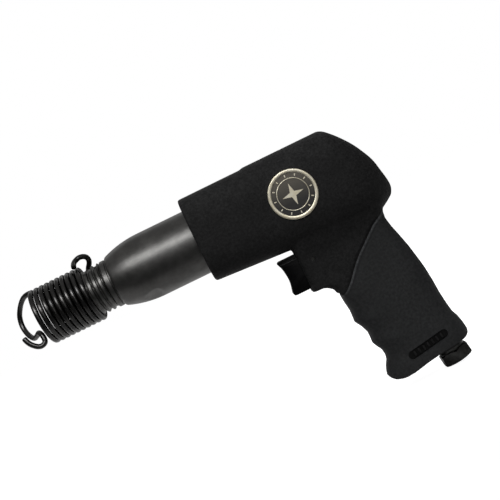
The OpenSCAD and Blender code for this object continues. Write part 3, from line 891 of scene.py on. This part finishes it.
def make_grip(material):
    """The rubber skin of the grip, with its bead, its slots and its room for the casting."""
    grip = grip_solid()
    foot = [(215, -20), (215, -116.3)] + list(reversed(GRIP_FOOT)) + [(130, -118), (130, -20)]
    combine(grip, side_slab("foot", foot, 40), "INTERSECT")
    remesh(grip, 0.5)
    relax(grip, 6)

    def bead(points):
        near = distance_to_line(points[:, (0, 2)], SEAM)
        return BEAD_HEIGHT * np.clip(1 - (near - 0.9) / 0.6, 0, 1) * on_the_side(points)

    move_along_normals(grip, bead)
    above = SEAM + [(192.5, -31), (215, -31), (215, -20), (130, -20), (130, SEAM[0][1])]
    combine(grip, side_slab("above", above, 40), "DIFFERENCE")
    for side in (-1, 1):
        combine(grip, slot_cutter(side), "DIFFERENCE")
    combine(grip, side_slab("core", GRIP_CORE, CORE_HALF_WIDTH), "DIFFERENCE")
    combine(grip, inlet_rod("inlet_room", INLET_ROOM_RADIUS, -5, 15), "DIFFERENCE")
    shade(grip, 50)
    grip.name = "grip_skin"
    finish_piece(grip, "housing", material, ["grip_sleeve"])
    mark_bead_highlight(grip)
    # Painted shade: the slot floors and their ribs are darker than the grip, standing in for the shade in the
    # recesses.
    make_slot_ribs(slot_shade_rubber("slot_floor_painted_shade", 0.0015, 0.004), slot_shade_rubber("slot_rib", 0.008, 0.015))


# ---------------------------------------------------------------- inlet

# The middle of the inlet's outer end, and how far its axis leans forward as it runs up the grip.
INLET_END = (195.0, 0.0, -131.8)
INLET_LEAN = math.radians(8.5)


def inlet_point(x, y, distance):
    """A point in the inlet's own frame: distance counts up the grip from the inlet's outer end."""
    s, c = math.sin(INLET_LEAN), math.cos(INLET_LEAN)
    return (INLET_END[0] + x * c - distance * s, y, INLET_END[2] + x * s + distance * c)


def inlet_rod(name, radius, start, end):
    return loft(name, [[inlet_point(radius * math.cos(a), radius * math.sin(a), d) for a in angles(64)]
                       for d in (start, end)])


def inlet_lathe(name, profile, segments=144):
    """A closed profile of (radius, distance) points turned about the inlet's axis.

    A radius may also be a function of the angle and the distance."""
    rings = []
    for k in range(segments):
        a = 2 * math.pi * k / segments
        ring = []
        for r, d in profile:
            radius = r(a, d) if callable(r) else r
            ring.append(inlet_point(radius * math.cos(a), radius * math.sin(a), d))
        rings.append(ring)
    return loft(name, rings, closed_path=True)


HEX_HALF_WIDTH = 8.75
HEX_HEIGHT = 7.2
# The collar above the hexagon, then the plain length that goes into the casting and the bore's end,
# as (radius, distance).
INLET_UPPER = [(7.8, 7.3), (7.75, 7.55), (8.15, 7.75), (8.2, 7.9), (8.2, 9.2), (8.05, 9.38), (7.3, 9.4),
               (7.3, 23.8), (6.6, 24), (4.6, 24), (4.6, 14)]
# The thread's ridges inside the bore: its core radius, its depth, half its pitch, and its innermost point.
INLET_THREAD_CORE = 5.72
INLET_THREAD_DEPTH = 0.32
INLET_THREAD_STEP = 0.5
INLET_THREAD_TOP = 13.6
INLET_MOUTH = [(6.3, 0.6), (6.9, 0.0)]
INLET_WASHER = [(7.5, 9.5), (8.3, 9.46), (8.6, 9.6), (8.72, 9.9), (8.72, 10.5), (8.6, 10.8), (8.3, 10.94),
                (7.5, 10.9)]


def hexagon_radius(angle, d):
    """Radius of the hexagon, with a rounded lower end and a small chamfer at the collar."""
    hexagon = HEX_HALF_WIDTH / math.cos(((angle + math.pi / 6) % (math.pi / 3)) - math.pi / 6)
    low = 8.0 + 2.2 * math.sqrt(1 - (1 - min(d / 1.8, 1.0)) ** 2)
    high = 9.1 + 1.6 * min(HEX_HEIGHT - d, 1.0)
    return min(hexagon, low, high)


def make_inlet(steel, rubber):
    """Hexagon, collar and threaded bore, with the washer above it."""
    profile = [(hexagon_radius, d) for d in np.linspace(0, HEX_HEIGHT, 29)]
    profile += INLET_UPPER
    for k in range(26):
        depth = INLET_THREAD_DEPTH if k % 2 else 0.0
        profile.append((INLET_THREAD_CORE + depth, INLET_THREAD_TOP - k * INLET_THREAD_STEP))
    profile += INLET_MOUTH
    inlet = inlet_lathe("inlet_bushing_turned", profile)
    shade(inlet, 30)
    finish_piece(inlet, "housing", steel, ["inlet_bushing"])
    washer = inlet_lathe("inlet_washer_ring", INLET_WASHER)
    shade(washer, 50)
    finish_piece(washer, "housing", rubber, ["inlet_washer"])


# ---------------------------------------------------------------- barrel

THREAD_PITCH = 3.42
COIL_FRONT = -18.0
THREAD_END = 26.2
NOSE_ROOT = 13.6
BARREL_RADIUS = 20.25
OGIVE_END = 54.0
OGIVE_ARC = 64.2
# The two wrench flats: their distance from the axis, and the angles round it that they face.
FLAT_DISTANCE = 19.15
FLAT_ANGLES = [math.radians(243), math.radians(63)]
# Turned profile behind the nose thread, as (x, radius): the collar up to the ogive, then from the
# straight body round the back and forward again through the bores to the nose.
COLLAR = [(26.1, 13.75), (26.35, 14.4), (26.7, 14.75), (27, 14.8), (29, 14.8), (29.25, 14.7), (29.42, 14.4),
          (29.6, 14.2), (30, 14.2), (30.2, 14.9), (30.5, 15.5), (31, 15.95)]
BODY_AND_BORES = [(54, 20.25), (55.2, 20.25), (62, 20.25), (75, 20.25), (90.6, 20.25), (91, 19.9), (91, 18),
                  (114, 18), (114, 17), (128, 17), (128, 9.5), (127.9, 9.5), (25.1, 9.5), (25, 9.2),
                  (25, 5.15), (24.8, 5.15), (0.6, 5.15), (0.15, 5.35), (0, 5.7), (0, 12.9), (0.15, 13.3)]


def nose_radius(x, angle):
    """Radius of the nose thread, whose grooves are where the spring's turns lie."""
    phase = ((x - COIL_FRONT) / THREAD_PITCH - (angle - math.pi / 2) / (2 * math.pi)) % 1.0
    away = 1 - abs(phase - 0.5) * 2
    ridge = min(1.0, max(0.0, (away - 0.42) / 0.5))
    fade = min(1.0, max(0.0, (x - 0.3) / 1.2)) * min(1.0, max(0.0, (THREAD_END - x) / 0.8))
    height = float(np.interp(x, [0, 17.5, 18.5, 30], [0.82, 0.82, 1.2, 1.2]))
    return NOSE_ROOT + height * ridge * fade


def flat_distance(x):
    """Distance of the two wrench flats from the axis; they run out before the straight body."""
    run_out = max(0.0, (x - 51) / 4)
    return FLAT_DISTANCE + (BARREL_RADIUS - FLAT_DISTANCE) * run_out ** 2


def with_flats(x, radius, angle):
    """The radius, less what the wrench flats take off the outside there."""
    if 36 < x < 60 and radius > 15:
        for middle in FLAT_ANGLES:
            turn = math.cos(angle - middle)
            if turn > 0.5:
                radius = min(radius, flat_distance(x) / turn)
    return radius


def make_barrel(material):
    """The barrel in one closed skin, with its nose thread, wrench flats and bores."""
    thread = np.arange(0.4, THREAD_END - 0.2, 0.22)
    ogive = [(x, BARREL_RADIUS - OGIVE_ARC + math.sqrt(OGIVE_ARC ** 2 - (OGIVE_END - x) ** 2))
             for x in np.arange(31.5, OGIVE_END, 0.75)]
    turned = COLLAR + ogive + BODY_AND_BORES
    segments = 240
    rings = []
    for k in range(segments):
        a = 2 * math.pi * k / segments
        profile = [(x, nose_radius(x, a)) for x in thread]
        profile += [(x, with_flats(x, r, a)) for x, r in turned]
        rings.append([(x, r * math.cos(a), r * math.sin(a)) for x, r in profile])
    barrel = loft("barrel_turned", rings, closed_path=True)
    shade(barrel, 35)
    finish_piece(barrel, "housing", material, ["barrel"])


# ---------------------------------------------------------------- retainer spring

COIL_RADIUS = 16.15
COIL_TURNS = 9.87
WIRE_RADIUS = 1.6
# The wire beyond the coil's two ends: the hooks that hold the chisel, and the finger loop.
FRONT_HOOK = [(-31.6, -10, -6.8), (-30.6, -10.4, -9.6), (-29, -10.4, -12.2), (-26.4, -10, -14.6),
              (-24, -9.4, -15.3), (-21.7, -8.8, -14.3), (-21.2, -8.3, -12), (-21.8, -7.3, -9.3),
              (-23.6, -4.2, -7.6), (-26.2, -0.6, -8.6), (-29.2, 3.6, -9.2), (-31.8, 7.4, -7.4),
              (-34, 10.6, -3.6), (-34.9, 12.4, 1.4), (-34, 12.6, 6.4), (-31.6, 11.2, 10.4),
              (-28.4, 8.4, 13.6), (-24.9, 5.2, 15.7), (-21.4, 2.2, 16.4)]
BACK_LOOP = [(17.8, 8, 14.9), (19.9, 4.8, 16.9), (21, 2.6, 18.9), (20.6, 1.4, 21), (18.9, 0.5, 22.2),
             (16.7, -0.4, 22.5), (14.6, -1.4, 21.8), (13.2, -3.4, 20.7), (12.8, -6, 19.3), (12.8, -8.2, 17.9)]


def make_spring(material):
    """One wire: the hooks in front, the coil on the nose thread, and the finger loop."""
    steps = 48
    coil = []
    for i in range(round(COIL_TURNS * steps) + 1):
        a = 2 * math.pi * i / steps
        x = COIL_FRONT + THREAD_PITCH * i / steps
        coil.append((x, -COIL_RADIUS * math.sin(a), COIL_RADIUS * math.cos(a)))
    path = smooth_curve(FRONT_HOOK + [coil[0]], 6)[:-1] + coil[:-1] + smooth_curve([coil[-1]] + BACK_LOOP, 6)
    spring = tube("retainer_spring_wire", path, WIRE_RADIUS, 20)
    shade(spring, 50)
    finish_piece(spring, "retainer", material, ["retainer_spring"])


# ---------------------------------------------------------------- badge

# Places along Y: the back of the badge, the field's face and the rim's face.
BADGE_BACK = -24.6
FIELD_FACE = -25.7
BADGE_FACE = -26.2
RIM_WIDTH = 2.05
# The ornament: the ring's two radii, the star's tips and waist, and the ticks' ends as (radius, half width).
RING_RADII = (9.6, 9.1)
STAR_TIP = 6.6
STAR_WAIST = 1.9
TICK_INNER = (10.5, 0.25)
TICK_OUTER = (11.9, 0.35)
TICK_FACE = -25.95
STAR_FACE = -25.98


def badge_lathe(name, profile):
    """A closed profile of (radius, y) points turned about the badge's own axis."""
    segments = 128
    rings = []
    for k in range(segments):
        a = 2 * math.pi * k / segments
        rings.append([(BADGE_AT[0] + r * math.cos(a), y, BADGE_AT[1] + r * math.sin(a)) for r, y in profile])
    return loft(name, rings, closed_path=True)


def make_badge(gold, field):
    """A round plate with a raised rim, a dark field and a plain ornament."""
    edge = BADGE_RADIUS
    inside = edge - RIM_WIDTH
    rim = badge_lathe("badge_rim", [(edge, BADGE_BACK), (edge, -25.8), (edge - 0.2, -26.1),
                                    (edge - 0.5, BADGE_FACE), (edge - 1.5, BADGE_FACE), (edge - 1.9, -26.05),
                                    (inside, -25.75), (inside, BADGE_BACK)])
    shade(rim, 40)
    finish_piece(rim, "housing", gold, ["badge"])
    inner = edge - 2
    plate = badge_lathe("badge_field", [(inner, BADGE_BACK), (inner, FIELD_FACE), (0.01, FIELD_FACE - 0.05),
                                        (0.01, BADGE_BACK)])
    shade(plate, 40)
    finish_piece(plate, "housing", field, [])
    make_emblem(gold)


def make_emblem(gold):
    """A plain ornament: a fine ring, a small four-pointed star and twelve ticks."""
    outer, inner = RING_RADII
    ring = badge_lathe("badge_ring", [(outer, FIELD_FACE), (outer, TICK_FACE), (inner, TICK_FACE),
                                      (inner, FIELD_FACE)])
    finish_piece(ring, "housing", gold, [])
    outline = []
    for k in range(8):
        a = math.pi * k / 4 + math.pi / 2
        r = STAR_TIP if k % 2 == 0 else STAR_WAIST
        outline.append((BADGE_AT[0] + r * math.cos(a), BADGE_AT[1] + r * math.sin(a)))
    star = loft("badge_star", [[(x, y, z) for x, z in outline] for y in (FIELD_FACE, STAR_FACE)])
    shade(star, 20)
    finish_piece(star, "housing", gold, [])
    (near, near_half), (far, far_half) = TICK_INNER, TICK_OUTER
    for k in range(12):
        a = math.pi * k / 6
        c, s = math.cos(a), math.sin(a)
        tick = []
        for u, v in ((near, -near_half), (far, -far_half), (far, far_half), (near, near_half)):
            tick.append((BADGE_AT[0] + u * c - v * s, BADGE_AT[1] + u * s + v * c))
        mark = loft(f"badge_tick_{k + 1}", [[(x, y, z) for x, z in tick] for y in (FIELD_FACE, TICK_FACE)])
        shade(mark, 20)
        finish_piece(mark, "housing", gold, [])


# ---------------------------------------------------------------- trigger

# Side outlines of the trigger's pad and of the narrower cap on it, as (x, z).
TRIGGER_BACK = 152.0
TRIGGER_PAD = [(122.3, -34.3), (123, -36.3), (123.6, -38.8), (123.9, -41.1), (124.15, -43.2), (124.2, -45.3),
               (124, -47.4), (123.6, -49.5), (123.1, -51.4), (122.8, -52.8), (122.9, -53.8), (123.5, -54.4),
               (124.6, -54.6), (TRIGGER_BACK, -54.6), (TRIGGER_BACK, -34.3)]
TRIGGER_CAP = [(122.9, -36.2), (122.3, -34.8), (121.9, -33.7), (121.8, -32.9), (122.6, -32.2), (123.4, -32.1),
               (TRIGGER_BACK - 0.3, -32.1), (TRIGGER_BACK - 0.3, -36.2)]
PAD_HALF_WIDTH = 8.0
CAP_HALF_WIDTH = 7.35
# The slot round the pin: how much longer than wide it is, and its half height.
PIN_SLOT_TRAVEL = 5.4
PIN_SLOT_REACH = 1.6


def make_trigger(material):
    """The finger pad, with rounded edges, and the cap that slides under the head."""
    trigger = side_slab("trigger_pad", TRIGGER_PAD, PAD_HALF_WIDTH)
    bevel(trigger, 0.55, 4)
    cap = side_slab("trigger_cap", TRIGGER_CAP, CAP_HALF_WIDTH)
    bevel(cap, 0.4, 3)
    combine(trigger, cap, "UNION")
    middle = PIN_AT[0] + 0.2 - PIN_SLOT_TRAVEL / 2
    half_length = PIN_SLOT_TRAVEL / 2 + PIN_SLOT_REACH
    ring = [(middle + u, PIN_AT[1] + v) for u, v in slot_outline(half_length, PIN_SLOT_REACH)]
    combine(trigger, loft("pin_slot", [[(x, y, z) for x, z in ring] for y in (-12, 12)]), "DIFFERENCE")
    shade(trigger, 24)
    finish_piece(trigger, "trigger", material, ["trigger"])


# ---------------------------------------------------------------- CAD nodes that stay

def dress_nodes(materials):
    """Gives each CAD node that is shown a finished material."""
    for subpart in frame["record"]["subparts"]:
        node = frame["nodes"][subpart["node"]]
        material = materials[subpart["material_slot"]]
        node.data.materials.clear()
        node.data.materials.append(material)
        node.data.polygons.foreach_set("use_smooth", [True] * len(node.data.polygons))


make_camera()
make_studio()
MATERIALS = {
    "barrel_steel": turned_metal("barrel_steel", (0.142, 0.14, 0.136), 0.27, 0.44),
    "spring_wire": spring_black(),
    "bright_steel": turned_metal("bright_steel", (0.5, 0.5, 0.505), 0.22, 0.38),
    "cast_alloy": cast_alloy(),
    "cover_rubber": cover_rubber(),
    "grip_rubber": grip_rubber(),
    "trigger_plastic": trigger_plastic(),
    "seal_rubber": matte_black("seal_rubber"),
    "brass": turned_metal("turned_brass", (0.62, 0.45, 0.2), 0.25, 0.38),
    "inlet_steel": turned_metal("inlet_steel", (0.05, 0.05, 0.048), 0.12, 0.3, mottle=0.8),
    "badge_metal": gold_foil(),
    "black_plastic": matte_black("black_plastic"),
}
dress_nodes(MATERIALS)
make_barrel(MATERIALS["barrel_steel"])
make_spring(MATERIALS["spring_wire"])
make_cover(MATERIALS["cover_rubber"])
make_grip(MATERIALS["grip_rubber"])
make_trigger(MATERIALS["trigger_plastic"])
make_inlet(MATERIALS["inlet_steel"], MATERIALS["seal_rubber"])
make_badge(MATERIALS["badge_metal"], badge_field())
